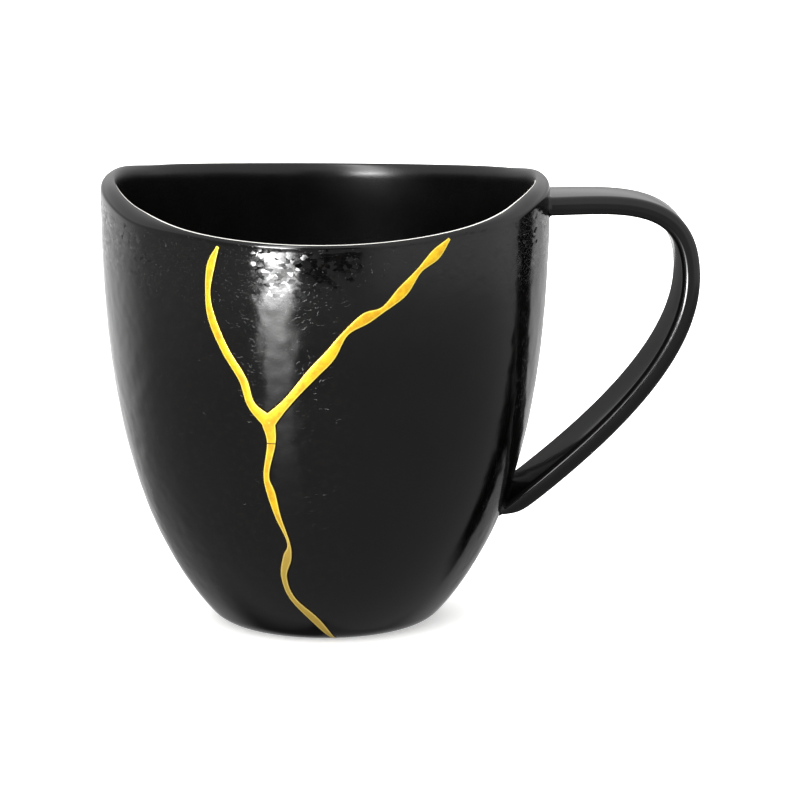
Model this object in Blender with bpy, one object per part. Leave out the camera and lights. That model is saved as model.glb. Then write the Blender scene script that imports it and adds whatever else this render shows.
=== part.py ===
"""A porcelain coffee cup: a round body with a waved rim and a strap handle, fired as one piece.

Units are metres and +Z is up. The cup stands on the plane z = 0. The handle points along +X, and the
origin is under the middle of the whole cup, so the body's own axis lies a little towards -X.

The body is one spun profile, whose rim is then pressed down front and back. The handle is a strap
swept along its centre line, cut off inside the thickness of the wall, and joined to the body.
"""

import math

import bmesh
import bpy
from mathutils import Vector
from mathutils.geometry import interpolate_bezier

# Body
BODY_RADIUS = 0.0400  # outside, just under the lip
RIM_HEIGHT = 0.0805  # top of the two crests
FOOT_RADIUS = 0.0157  # outer edge of the flat foot ring
FOOT_ROUNDING = 0.0068  # radius from the foot ring up into the wall
WALL_FOOT_SLOPE = math.radians(48)  # slope of the wall where it leaves that rounding
WALL_FOOT_PULL = 0.0171  # Bezier pull at the wall's foot
WALL_TOP = 0.0780  # height at which the wall is upright and widest
WALL_TOP_PULL = 0.0415  # Bezier pull at the wall's top

# Thickness of the porcelain
WALL_AT_LIP = 0.0031
WALL_AT_FOOT = 0.0044
FULL_WALL_SHARE = 0.6  # share of the wall's curve by which it has thinned to WALL_AT_LIP
FLOOR_HEIGHT = 0.0055  # inside floor above the table
FLOOR_PULL = 0.0120
FLOOR_CORNER_PULL = 0.0095
FLOOR_JOINT_SHARE = 0.2  # share of the wall's curve at which the floor begins
LIP_OUTER_ROUNDING = 0.0022
LIP_INNER_ROUNDING = 0.0010
LIP_CLEARANCE = 0.0005  # the wall's last step stops this far below the lip's rounding

# Foot
FOOT_RING_WIDTH = 0.0021
RECESS_DEPTH = 0.0012
RECESS_SLOPE_WIDTH = 0.0010

# Waved rim: two crests, about at the handle and opposite it, and two dips
RIM_DIP = 0.0041  # the wave's depth, from the crests to front and back
RIM_PEAK = 0.00065  # how much further the two crests stand up as peaks
RIM_PEAK_RANGE = (math.radians(12), math.radians(34))  # from a peak's flat top to the wave
RIM_SHOULDER = 0.0003  # how much sooner the rim falls than a plain wave
RIM_TURN = math.radians(-5)  # the crests' turn from the handle's plane
RIM_LEAN = 0.00025  # the front dip is this much shallower than the plain wave, and the back one deeper
WAVE_START = 0.0450  # the wall is plain and round below this height

# Handle, in its own plane: distance from the body's axis, and height
STRAP_WIDTH = 0.0120
STRAP_THICKNESS = 0.0034
STRAP_ROUNDING = 0.0013  # on all four long edges
STRAP_TWIST_FAR = math.radians(4.5)  # the hand-bent strap's inner face turns a little to the front
STRAP_TWIST_TAIL = math.radians(8)
HANDLE_TOP = 0.07555  # centre line where the strap leaves the body
HANDLE_TOP_PULL = 0.0130
HANDLE_REACH = 0.0646  # centre line at its furthest from the axis
HANDLE_REACH_HEIGHT = 0.0626
HANDLE_SHOULDER_PULL = 0.0150
HANDLE_BELLY_PULL = 0.0130
HANDLE_TAIL_SLOPE = math.radians(36.2)
HANDLE_TAIL_PULL = 0.0293
HANDLE_TAIL_END = (0.0284, 0.0179)  # inside the body, where the cut takes it off
HANDLE_FLAT = 0.0196  # the strap's underside levels out at this height
HANDLE_FLAT_SOFTNESS = 0.0006
CORE_OVERRUN = 0.0050  # the core that cuts the strap's inner end rises this far past the rim

# Glaze
GLAZE_COLOUR = (0.0130, 0.0122, 0.0118, 1.0)  # linear
GLAZE_ROUGHNESS = 0.28

# Facets
TURNS = 72
WALL_STEPS = 15
FINE = 5  # the wall's curve is worked out this much finer, to set its inside back evenly
FLOOR_STEPS = 6
ARC_STEPS = 3
FOOT_STEPS = 4
HANDLE_STEPS = 34
MERGE_DISTANCE = 1e-6
SHARP_ANGLE = math.radians(40)

STRAP_FAR_HALF = ((STRAP_WIDTH / 2 - STRAP_ROUNDING) * math.sin(STRAP_TWIST_FAR)
                  + (STRAP_THICKNESS / 2 - STRAP_ROUNDING) * math.cos(STRAP_TWIST_FAR) + STRAP_ROUNDING)
AXIS_X = (BODY_RADIUS - HANDLE_REACH - STRAP_FAR_HALF) / 2


def arc(centre, radius, start, end, steps):
    """Points on a circle in the profile's plane, from one angle in degrees to another."""
    angles = [math.radians(start + (end - start) * i / steps) for i in range(steps + 1)]
    return [Vector((centre[0] + radius * math.cos(a), centre[1] + radius * math.sin(a))) for a in angles]


def bezier(start, start_pull, end_pull, end, steps):
    """Points on a cubic Bezier curve in the profile's plane."""
    knots = [Vector((*p, 0.0)) for p in (start, start_pull, end_pull, end)]
    return [p.xy for p in interpolate_bezier(*knots, steps + 1)]


def wall_curve():
    """The outside of the wall, from the foot's rounding up to the height where it is upright."""
    slope = Vector((math.cos(WALL_FOOT_SLOPE), math.sin(WALL_FOOT_SLOPE)))
    start = Vector((FOOT_RADIUS + FOOT_ROUNDING * slope.y, FOOT_ROUNDING * (1 - slope.x)))
    end = Vector((BODY_RADIUS, WALL_TOP))
    foot_pull = start + slope * WALL_FOOT_PULL
    top_pull = end - Vector((0, WALL_TOP_PULL))
    return bezier(start, foot_pull, top_pull, end, FINE * WALL_STEPS)


def inward(curve, thickness):
    """The curve set back into the wall by thickness(share of the curve)."""
    last = len(curve) - 1
    moved = []
    for i, point in enumerate(curve):
        along = (curve[min(i + 1, last)] - curve[max(i - 1, 0)]).normalized()
        moved.append(point + Vector((-along.y, along.x)) * thickness(i / last))
    return moved


def wall_thickness(share):
    """Thickness of the wall at a share of its curve, from foot to lip."""
    return WALL_AT_FOOT + (WALL_AT_LIP - WALL_AT_FOOT) * min(1.0, share / FULL_WALL_SHARE)


def body_profile():
    """The body's whole section: inside floor, inner wall, lip, outer wall, foot and underside."""
    outer = wall_curve()
    inner = inward(outer, wall_thickness)[round(FLOOR_JOINT_SHARE * (len(outer) - 1)):]
    tangent = (inner[1] - inner[0]).normalized()
    floor = bezier((0.0, FLOOR_HEIGHT), (FLOOR_PULL, FLOOR_HEIGHT),
                   inner[0] - tangent * FLOOR_CORNER_PULL, inner[0], FLOOR_STEPS)
    lip_in = arc((BODY_RADIUS - WALL_AT_LIP + LIP_INNER_ROUNDING, RIM_HEIGHT - LIP_INNER_ROUNDING),
                 LIP_INNER_ROUNDING, 180, 90, ARC_STEPS)
    lip_out = arc((BODY_RADIUS - LIP_OUTER_ROUNDING, RIM_HEIGHT - LIP_OUTER_ROUNDING),
                  LIP_OUTER_ROUNDING, 90, 0, ARC_STEPS)
    foot = arc((FOOT_RADIUS, FOOT_ROUNDING), FOOT_ROUNDING,
               math.degrees(WALL_FOOT_SLOPE) - 90, -90, FOOT_STEPS)
    ring_inside = FOOT_RADIUS - FOOT_RING_WIDTH
    underside = [Vector((ring_inside, 0.0)), Vector((ring_inside - RECESS_SLOPE_WIDTH, RECESS_DEPTH)),
                 Vector((0.0, RECESS_DEPTH))]
    lip_start = RIM_HEIGHT - LIP_OUTER_ROUNDING - LIP_CLEARANCE
    inner_rise = [p for p in inner[FINE::FINE] if p.y < lip_start]
    outer_fall = [p for p in outer[::-FINE] if p.y < lip_start]
    return floor + inner_rise + lip_in + lip_out[1:] + outer_fall + foot[1:] + underside


def rim_wave(angle):
    """How far the rim lies below its crests at an angle round the body."""
    turned = angle - RIM_TURN
    lean = -RIM_LEAN * math.sin(angle) * abs(math.sin(angle))
    start, end = RIM_PEAK_RANGE
    share = min(1.0, max(0.0, (math.asin(abs(math.sin(turned))) - start) / (end - start)))
    peak = RIM_PEAK * share * share * (3 - 2 * share)
    return lean - peak - RIM_DIP * math.sin(turned) ** 2 - RIM_SHOULDER * math.sin(2 * turned) ** 2


def press_rim(bm):
    """Lowers the upper wall and the lip to the wave, fading out down the wall."""
    for vert in bm.verts:
        share = max(0.0, (vert.co.z - WAVE_START) / (RIM_HEIGHT - WAVE_START))
        vert.co.z += rim_wave(math.atan2(vert.co.y, vert.co.x)) * share * share * (3 - 2 * share)


def spun(bm, profile):
    """Turns a profile, given as distance from the axis and height, into a closed round solid."""
    verts = [bm.verts.new((p.x, 0.0, p.y)) for p in profile]
    edges = [bm.edges.new(pair) for pair in zip(verts, verts[1:])]
    bmesh.ops.spin(bm, geom=verts + edges, axis=(0, 0, 1), cent=(0, 0, 0),
                   angle=2 * math.pi, steps=TURNS, use_duplicate=False)
    bmesh.ops.remove_doubles(bm, verts=bm.verts, dist=MERGE_DISTANCE)
    bmesh.ops.recalc_face_normals(bm, faces=bm.faces)


def handle_line():
    """The strap's centre line, as distance from the axis and height, from the rim to the tail."""
    top = Vector((BODY_RADIUS - WALL_AT_LIP / 2, HANDLE_TOP))
    far = Vector((HANDLE_REACH, HANDLE_REACH_HEIGHT))
    tail = Vector(HANDLE_TAIL_END)
    slope = Vector((math.cos(HANDLE_TAIL_SLOPE), math.sin(HANDLE_TAIL_SLOPE)))
    half = HANDLE_STEPS // 2
    top_pull = top + Vector((HANDLE_TOP_PULL, 0))
    shoulder = bezier(top, top_pull, far + Vector((0, HANDLE_SHOULDER_PULL)), far, half)
    belly = bezier(far, far - Vector((0, HANDLE_BELLY_PULL)), tail + slope * HANDLE_TAIL_PULL, tail, half)
    return shoulder + belly[1:]


def strap_section():
    """The strap's section: a rectangle of width across by thickness, with its corners rounded."""
    across = STRAP_WIDTH / 2 - STRAP_ROUNDING
    through = STRAP_THICKNESS / 2 - STRAP_ROUNDING
    corners = ((across, through), (-across, through), (-across, -through), (across, -through))
    points = []
    for start, (x, y) in zip(range(0, 360, 90), corners):
        points += arc((x, y), STRAP_ROUNDING, start, start + 90, ARC_STEPS)
    return points


def twist(share):
    """How far the strap is turned about its own line, at a share of it from rim to tail."""
    if share < 0.5:
        return 2 * share * STRAP_TWIST_FAR
    return STRAP_TWIST_FAR + (2 * share - 1) * (STRAP_TWIST_TAIL - STRAP_TWIST_FAR)


def levelled(height):
    """A height on the strap, with what would hang below HANDLE_FLAT bent level."""
    above = (height - HANDLE_FLAT) / HANDLE_FLAT_SOFTNESS
    return HANDLE_FLAT + HANDLE_FLAT_SOFTNESS * math.log1p(math.exp(above))


def sweep_handle(bm):
    """Sweeps the strap's section along its centre line."""
    line = handle_line()
    rings = []
    for i, centre in enumerate(line):
        along = (line[min(i + 1, len(line) - 1)] - line[max(i - 1, 0)]).normalized()
        out = Vector((-along.y, along.x))
        turn = twist(i / (len(line) - 1))
        ring = []
        for across, through in strap_section():
            spot = centre + out * (through * math.cos(turn) - across * math.sin(turn))
            side = across * math.cos(turn) + through * math.sin(turn)
            ring.append(bm.verts.new((spot.x, side, levelled(spot.y))))
        rings.append(ring)
    loops = [[bm.edges.new((ring[k - 1], ring[k])) for k in range(len(ring))] for ring in rings]
    for near, far in zip(loops, loops[1:]):
        bmesh.ops.bridge_loops(bm, edges=near + far)
    bm.faces.new(rings[0])
    bm.faces.new(rings[-1])
    bmesh.ops.recalc_face_normals(bm, faces=bm.faces)


def core_profile():
    """A solid whose skin runs in the middle of the wall. It takes off what the strap has inside."""
    middle = inward(wall_curve(), lambda share: wall_thickness(share) / 2)[::FINE]
    top = RIM_HEIGHT + CORE_OVERRUN
    return [Vector((0.0, top)), Vector((middle[-1].x, top)), *reversed(middle), Vector((0.0, middle[0].y))]


def glaze():
    """Black satin glaze over the porcelain."""
    material = bpy.data.materials.new("black_glaze")
    material.use_nodes = True
    shader = material.node_tree.nodes["Principled BSDF"]
    shader.inputs["Base Color"].default_value = GLAZE_COLOUR
    shader.inputs["Roughness"].default_value = GLAZE_ROUGHNESS
    shader.inputs["Metallic"].default_value = 0.0
    return material


def add_solid(name, build, parent):
    """A named object on the body's axis, whose mesh build(bm) makes."""
    bm = bmesh.new()
    build(bm)
    mesh = bpy.data.meshes.new(name)
    bm.to_mesh(mesh)
    bm.free()
    mesh.shade_smooth()
    mesh.set_sharp_from_angle(angle=SHARP_ANGLE)
    solid = bpy.data.objects.new(name, mesh)
    bpy.context.scene.collection.objects.link(solid)
    solid.parent = parent
    return solid


def add_boolean(solid, operation, other):
    """Joins another solid to this one, or cuts it out, and keeps the other one as a guide only."""
    modifier = solid.modifiers.new(operation.lower(), "BOOLEAN")
    modifier.operation = operation
    modifier.solver = "EXACT"
    modifier.object = other
    other.hide_render = True
    other.display_type = "WIRE"


def build_body(bm):
    """The round body with its waved rim."""
    spun(bm, body_profile())
    press_rim(bm)


def main():
    """Clears the scene and models the cup."""
    for old in list(bpy.data.objects):
        bpy.data.objects.remove(old)
    axis = bpy.data.objects.new("body_axis", None)
    axis.location.x = AXIS_X
    bpy.context.scene.collection.objects.link(axis)
    cup = add_solid("cup", build_body, axis)
    cup.data.materials.append(glaze())
    handle = add_solid("handle_stock", sweep_handle, axis)
    core = add_solid("handle_core", lambda bm: spun(bm, core_profile()), axis)
    add_boolean(handle, "DIFFERENCE", core)
    add_boolean(cup, "UNION", handle)


main()
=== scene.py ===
"""A black glazed porcelain cup, mended with gold along one crack, on a pale studio floor.

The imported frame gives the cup's box and its one body. The plain solid in that frame is replaced by
the same shape made fine: the turned wall with its waved rim, the strap handle with its luted joints,
and the shallow relief of the glaze. The gold seam rides on the same body.

Lengths are metres. Angles round the cup are measured from its front (-Y), growing towards the
handle (+X), except where a method says otherwise.
"""

import logging
import math
from bisect import bisect_right
from dataclasses import dataclass, field
from typing import Callable, Iterable

import bpy
from mathutils import Matrix, Vector, kdtree, noise
from mathutils.geometry import interpolate_bezier


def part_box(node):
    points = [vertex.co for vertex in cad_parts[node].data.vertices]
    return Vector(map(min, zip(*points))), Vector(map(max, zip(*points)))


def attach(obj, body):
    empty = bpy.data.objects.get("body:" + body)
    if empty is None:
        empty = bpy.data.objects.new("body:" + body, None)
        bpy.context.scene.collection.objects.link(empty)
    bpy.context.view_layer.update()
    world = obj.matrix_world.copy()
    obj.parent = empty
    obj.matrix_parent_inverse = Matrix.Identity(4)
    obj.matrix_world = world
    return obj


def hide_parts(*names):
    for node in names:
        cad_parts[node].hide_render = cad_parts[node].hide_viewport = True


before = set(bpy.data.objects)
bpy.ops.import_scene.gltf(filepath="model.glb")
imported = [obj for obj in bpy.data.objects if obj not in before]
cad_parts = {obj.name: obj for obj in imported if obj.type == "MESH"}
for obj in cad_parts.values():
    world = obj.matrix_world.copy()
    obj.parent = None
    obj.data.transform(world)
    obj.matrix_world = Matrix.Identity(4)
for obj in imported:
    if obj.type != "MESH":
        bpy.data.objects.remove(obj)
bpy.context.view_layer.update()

LOG = logging.getLogger("cup")
MM = 0.001
MERGE_DISTANCE = 1e-6
RIM_CLEARANCE = 0.003 * MM
CRISP_EDGE = math.radians(38)
BODY = "root"


# ------------------------------------------------------------------------------------------------
# Bench: the few modelling moves that every piece is made with
# ------------------------------------------------------------------------------------------------


class Bench:
    """Modelling moves in object and edit mode, each starting from a clean selection."""

    @staticmethod
    def clear() -> None:
        """Leaves edit mode and deselects every object."""
        if bpy.context.object and bpy.context.object.mode != "OBJECT":
            bpy.ops.object.mode_set(mode="OBJECT")
        bpy.ops.object.select_all(action="DESELECT")

    @staticmethod
    def take(piece: bpy.types.Object) -> None:
        """Makes one object the only selected and active one."""
        Bench.clear()
        piece.select_set(True)
        bpy.context.view_layer.objects.active = piece

    @staticmethod
    def wire(name: str, points: list[Vector]) -> bpy.types.Object:
        """Draws a wire through points by extruding one vertex from each to the next.

        Args:
            name: The new object's name.
            points: The wire's points in world space.

        Returns:
            The wire, still in edit mode and all selected.
        """
        Bench.clear()
        bpy.ops.mesh.primitive_plane_add(size=MM, location=points[0])
        piece = bpy.context.object
        piece.name = name
        bpy.ops.object.transform_apply(location=True, rotation=True, scale=True)
        bpy.ops.object.mode_set(mode="EDIT")
        bpy.ops.mesh.merge(type="CENTER")
        for here, there in zip(points, points[1:]):
            bpy.ops.mesh.extrude_region_move(TRANSFORM_OT_translate={"value": there - here})
        bpy.ops.mesh.select_all(action="SELECT")
        return piece

    @staticmethod
    def turn_on_axis(piece: bpy.types.Object, centre: Vector, turns: int) -> None:
        """Turns a wire that is in edit mode into a closed round solid.

        Args:
            piece: The wire, which ends on the axis at both ends.
            centre: A point on the upright axis.
            turns: Facets round the axis.
        """
        Bench.clear()
        bpy.ops.object.empty_add(location=centre)
        axis = bpy.context.object
        Bench.apply(piece, "SCREW", axis="Z", object=axis, angle=2 * math.pi, steps=turns, render_steps=turns,
                    use_merge_vertices=True, merge_threshold=MERGE_DISTANCE)
        Bench.drop(axis)
        Bench.close(piece)

    @staticmethod
    def move_each(piece: bpy.types.Object, place: Callable[[Vector], Vector]) -> None:
        """Moves every vertex to where place(its position) says."""
        for vertex in piece.data.vertices:
            vertex.co = place(vertex.co)
        piece.data.update()

    @staticmethod
    def apply(piece: bpy.types.Object, kind: str, **settings: object) -> None:
        """Adds one modifier with its settings and applies it."""
        Bench.take(piece)
        modifier = piece.modifiers.new(kind.lower(), kind)
        for name, value in settings.items():
            setattr(modifier, name, value)
        bpy.ops.object.modifier_apply(modifier=modifier.name)

    @staticmethod
    def cut(piece: bpy.types.Object, near: Callable[[Vector], bool], spot: Vector, facing: Vector,
            drop: bool = False) -> None:
        """Cuts the faces that lie near a place with a plane.

        Args:
            piece: The mesh object.
            near: Says which vertices belong to the part to cut.
            spot: A point on the plane.
            facing: The plane's normal.
            drop: Whether what lies behind the plane goes, and the cut is filled.
        """
        Bench.take(piece)
        bpy.ops.object.mode_set(mode="EDIT")
        bpy.ops.mesh.select_mode(type="VERT")
        bpy.ops.mesh.select_all(action="DESELECT")
        bpy.ops.object.mode_set(mode="OBJECT")
        for vertex in piece.data.vertices:
            vertex.select = near(vertex.co)
        bpy.ops.object.mode_set(mode="EDIT")
        bpy.ops.mesh.bisect(plane_co=spot, plane_no=facing, use_fill=drop, clear_inner=drop)
        bpy.ops.object.mode_set(mode="OBJECT")

    @staticmethod
    def close(piece: bpy.types.Object) -> None:
        """Merges doubled vertices and turns every face outwards."""
        Bench.take(piece)
        bpy.ops.object.mode_set(mode="EDIT")
        bpy.ops.mesh.select_all(action="SELECT")
        bpy.ops.mesh.remove_doubles(threshold=MERGE_DISTANCE)
        bpy.ops.mesh.normals_make_consistent(inside=False)
        bpy.ops.object.mode_set(mode="OBJECT")

    @staticmethod
    def drop(piece: bpy.types.Object) -> None:
        """Takes a spent tool or cutter away."""
        bpy.data.objects.remove(piece)


def smoothstep(low: float, high: float, value: float) -> float:
    """Runs smoothly from 0 at low to 1 at high."""
    share = min(1.0, max(0.0, (value - low) / (high - low)))
    return share * share * (3 - 2 * share)


def bezier(start: Vector, start_pull: Vector, end_pull: Vector, end: Vector, steps: int) -> list[Vector]:
    """Points on a cubic Bezier curve in a section's plane (distance from the axis, height)."""
    knots = [Vector((*p, 0.0)) for p in (start, start_pull, end_pull, end)]
    return [p.xy for p in interpolate_bezier(*knots, steps + 1)]


def arc(centre: tuple[float, float], radius: float, start: float, end: float, steps: int) -> list[Vector]:
    """Points on a circle in a section's plane, from one angle in degrees to another."""
    angles = [math.radians(start + (end - start) * i / steps) for i in range(steps + 1)]
    return [Vector((centre[0] + radius * math.cos(a), centre[1] + radius * math.sin(a))) for a in angles]


def finder(points: list[Vector]) -> kdtree.KDTree:
    """A tree that finds which of some points lies nearest to a place."""
    tree = kdtree.KDTree(len(points))
    for i, point in enumerate(points):
        tree.insert(point, i)
    tree.balance()
    return tree


# ------------------------------------------------------------------------------------------------
# Wall: the turned body as a surface that the handle and the seam are set on
# ------------------------------------------------------------------------------------------------


@dataclass
class Wall:
    """The body's wall: one turned line, with the rim pressed down front and back.

    Attributes:
        axis_x: Where the body's own axis stands.
        radius: Outside radius just under the lip.
        rim: Height of the rim's two crests.
        full_share: Share of the wall's curve, from the foot, over which it thins to the lip's thickness.
        lip_rows: Share of the lip's rows that its crisp front rounding takes up.
        rows_slack: How far past those rows a row has to be before it counts as below the rounding.
        settling: How many rounds it takes to find a pressed point's height on the plain body.
    """

    axis_x: float
    radius: float
    rim: float
    foot_radius: float = 15.7 * MM
    foot_rounding: float = 6.8 * MM
    foot_slope: float = math.radians(48)
    foot_pull: float = 17.1 * MM
    upright_height: float = 78.0 * MM
    upright_pull: float = 41.5 * MM
    at_lip: float = 3.1 * MM
    at_foot: float = 4.4 * MM
    full_share: float = 0.6
    rim_dip: float = 4.1 * MM
    rim_shoulder: float = 0.3 * MM
    rim_peak: float = 0.65 * MM
    rim_peak_range: tuple[float, float] = (math.radians(12), math.radians(34))
    rim_turn: float = math.radians(-5)
    lip_outer: float = 2.2 * MM
    lip_crisp: float = 0.6 * MM
    lip_height: float = 3.0 * MM
    lip_rows: float = 0.6
    rows_slack: float = 1e-6
    crisp_from: float = math.radians(62)
    crisp_full: float = math.radians(33)
    rim_lean: float = 0.25 * MM
    wave_start: float = 45.0 * MM
    steps: int = 156
    foot_steps: int = 14
    settling: int = 6
    curve: list[Vector] = field(init=False)
    line: list[Vector] = field(init=False)
    lengths: list[float] = field(init=False)
    heights: list[float] = field(init=False)

    def __post_init__(self) -> None:
        """Works out the wall's line once."""
        slope = Vector((math.cos(self.foot_slope), math.sin(self.foot_slope)))
        start = Vector((self.foot_radius + self.foot_rounding * slope.y, self.foot_rounding * (1 - slope.x)))
        end = Vector((self.radius, self.upright_height))
        self.curve = bezier(start, start + slope * self.foot_pull, end - Vector((0, self.upright_pull)), end,
                            self.steps)
        foot = arc((self.foot_radius, self.foot_rounding), self.foot_rounding, -90,
                   math.degrees(self.foot_slope) - 90, self.foot_steps)
        self.line = foot + self.curve[1:]
        self.heights = [p.y for p in self.line]
        self.lengths = [0.0]
        for here, there in zip(self.line, self.line[1:]):
            self.lengths.append(self.lengths[-1] + (there - here).length)

    def thickness(self, share: float) -> float:
        """How thick the wall is at a share of its curve, from foot to lip."""
        return self.at_foot + (self.at_lip - self.at_foot) * min(1.0, share / self.full_share)

    def inside(self) -> list[Vector]:
        """The wall's inner line, set back from the outer one by its thickness."""
        last = len(self.curve) - 1
        moved = []
        for i, point in enumerate(self.curve):
            along = (self.curve[min(i + 1, last)] - self.curve[max(i - 1, 0)]).normalized()
            moved.append(point + Vector((-along.y, along.x)) * self.thickness(i / last))
        return moved

    def pressed(self, angle: float, height: float) -> float:
        """How far the wave presses a point down.

        Args:
            angle: Round the body from the front, in radians.
            height: The point's height on the plain turned body.

        Returns:
            A length, zero or below.
        """
        turned = angle - math.pi / 2 - self.rim_turn
        wave = -self.rim_dip * math.sin(turned) ** 2 - self.rim_shoulder * math.sin(2 * turned) ** 2
        wave += self.rim_lean * math.cos(angle) * abs(math.cos(angle))
        wave -= self.rim_peak * smoothstep(*self.rim_peak_range, math.asin(abs(math.sin(turned))))
        return wave * smoothstep(self.wave_start, self.rim, height)

    def crest_at(self, angle: float) -> float:
        """The rim's height at an angle from the front."""
        return self.rim + self.pressed(angle, self.rim)

    def angle_of(self, spot: Vector) -> float:
        """The angle round the body, from the front, at which a point lies."""
        return math.atan2(spot.x - self.axis_x, -spot.y)

    def lip_radius(self, angle: float) -> float:
        """The lip's outer rounding at an angle from the front, where it is crisp."""
        crisp = smoothstep(math.cos(self.crisp_from), math.cos(self.crisp_full), math.cos(angle))
        return self.lip_outer + (self.lip_crisp - self.lip_outer) * crisp

    def press(self, spot: Vector) -> Vector:
        """A point of the plain turned body, moved to the waved one with its crisp front lip."""
        angle = self.angle_of(spot)
        height = spot.z + self.pressed(angle, spot.z)
        radius = math.hypot(spot.x - self.axis_x, spot.y)
        below = self.rim - spot.z
        crest, inside = self.radius - self.lip_outer, self.radius - self.at_lip
        rounding = self.lip_radius(angle)
        moved = radius
        if radius > crest and below < self.lip_outer:
            turn = math.acos(1 - below / self.lip_outer) / (math.pi / 2)
            soft = (rounding - self.lip_crisp) / (self.lip_outer - self.lip_crisp)
            rows = self.lip_rows + (1 - self.lip_rows) * soft
            round_turn = min(1.0, turn / rows) * math.pi / 2
            moved = self.radius - rounding * (1 - math.sin(round_turn))
            lowered = rounding * (1 - math.cos(round_turn))
            if turn > rows + self.rows_slack:
                lowered += (self.lip_outer - rounding) * (turn - rows) / (1 - rows)
            height += below - lowered
        elif inside - self.at_lip < radius <= crest and below < self.lip_height:
            moved = inside + (radius - inside) * (self.at_lip - rounding) / (crest - inside)
        outward = moved / radius if radius > 0 else 1.0
        return Vector((self.axis_x + (spot.x - self.axis_x) * outward, spot.y * outward, height))

    def along_at(self, angle: float, height: float) -> float:
        """How far up the wall's line a point of the finished wall lies.

        Args:
            angle: Round the body from the front, in radians.
            height: The point's height on the finished wall.

        Returns:
            The length along the wall's line from the foot ring.
        """
        plain = height
        for _ in range(self.settling):
            plain = height - self.pressed(angle, plain)
        for i, point in enumerate(self.line[1:], 1):
            if point.y >= plain:
                before = self.line[i - 1]
                share = (plain - before.y) / (point.y - before.y)
                return self.lengths[i - 1] + share * (self.lengths[i] - self.lengths[i - 1])
        return self.lengths[-1] + plain - self.line[-1].y

    def section_at(self, along: float) -> tuple[Vector, Vector]:
        """The plain wall's point and outward direction at a length up its line."""
        top = self.lengths[-1]
        if along >= top:
            return self.line[-1] + Vector((0, along - top)), Vector((1, 0))
        i = next(k for k, length in enumerate(self.lengths) if length > max(along, 0.0))
        here, there = self.line[i - 1], self.line[i]
        share = (along - self.lengths[i - 1]) / (self.lengths[i] - self.lengths[i - 1])
        direction = (there - here).normalized()
        return here.lerp(there, share), Vector((direction.y, -direction.x))

    def spot(self, angle: float, along: float, proud: float = 0.0) -> Vector:
        """A place on the finished outer wall.

        Args:
            angle: Round the body from the front, in radians.
            along: Length up the wall's line from the foot ring.
            proud: How far the place stands off the wall.

        Returns:
            The place in world space.
        """
        point, out = self.section_at(along)
        set_off = point + out * proud
        height = set_off.y + self.pressed(angle, point.y)
        return Vector((self.axis_x + set_off.x * math.sin(angle), -set_off.x * math.cos(angle), height))

    def gap(self, place: Vector) -> float:
        """How far a point lies outside the plain wall, below zero when it is inside."""
        radius = math.hypot(place.x - self.axis_x, place.y)
        if place.z >= self.line[-1].y:
            return radius - self.radius
        i = max(1, bisect_right(self.heights, place.z))
        here, there = self.line[i - 1], self.line[i]
        share = (place.z - here.y) / (there.y - here.y)
        return (radius - here.x - share * (there.x - here.x)) * (there - here).normalized().y


# ------------------------------------------------------------------------------------------------
# Body: the turned porcelain
# ------------------------------------------------------------------------------------------------


@dataclass
class TurnedBody:
    """The cup's round body, from the inside floor over the lip and down to the foot."""

    wall: Wall
    turns: int = 384
    floor_height: float = 5.5 * MM
    floor_pull: float = 12.0 * MM
    floor_corner_pull: float = 9.5 * MM
    floor_joint: float = 0.2
    floor_steps: int = 12
    inner_stride: int = 5
    lip_clearance: float = 0.5 * MM
    lip_steps: int = 8
    ring_width: float = 2.1 * MM
    ring_edge: float = 0.4 * MM
    recess_depth: float = 1.2 * MM
    recess_slope: float = 1.0 * MM

    def section(self) -> list[Vector]:
        """The body's whole section, from the middle of the inside to the middle of the underside."""
        wall = self.wall
        inner = wall.inside()[round(self.floor_joint * wall.steps):]
        tangent = (inner[1] - inner[0]).normalized()
        floor = bezier(Vector((0, self.floor_height)), Vector((self.floor_pull, self.floor_height)),
                       inner[0] - tangent * self.floor_corner_pull, inner[0], self.floor_steps)
        lip_start = wall.rim - wall.lip_outer - self.lip_clearance
        rise = [p for p in inner[self.inner_stride::self.inner_stride]
                if p.y < wall.rim - wall.lip_height - self.lip_clearance]
        lip_in = arc((0, 0), 1.0, 180, 90, self.lip_steps)
        lip_in = [Vector((wall.radius - wall.lip_outer + p.x * (wall.at_lip - wall.lip_outer),
                          wall.rim - wall.lip_height * (1 - p.y))) for p in lip_in]
        lip_out = arc((wall.radius - wall.lip_outer, wall.rim - wall.lip_outer),
                      wall.lip_outer, 90, 0, 2 * self.lip_steps)
        fall = [p for p in reversed(wall.line) if p.y < lip_start + self.lip_clearance / 2]
        ring = wall.foot_radius - self.ring_width
        under = [Vector((ring + self.ring_edge, 0)), Vector((ring, self.ring_edge / 2)),
                 Vector((ring - self.recess_slope, self.recess_depth - self.ring_edge / 3)),
                 Vector((ring - self.recess_slope - self.ring_edge, self.recess_depth)),
                 Vector((ring / 2, self.recess_depth)), Vector((0, self.recess_depth))]
        return floor + rise + lip_in + lip_out[1:] + fall + under

    def build(self) -> bpy.types.Object:
        """Turns the section into the body and presses its rim."""
        axis = Vector((self.wall.axis_x, 0, 0))
        points = [axis + Vector((p.x, 0, p.y)) for p in self.section()]
        body = Bench.wire("cup_porcelain", points)
        Bench.turn_on_axis(body, axis, self.turns)
        Bench.move_each(body, self.wall.press)
        return body


# ------------------------------------------------------------------------------------------------
# Handle: a strap bent from one band of clay
# ------------------------------------------------------------------------------------------------


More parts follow.
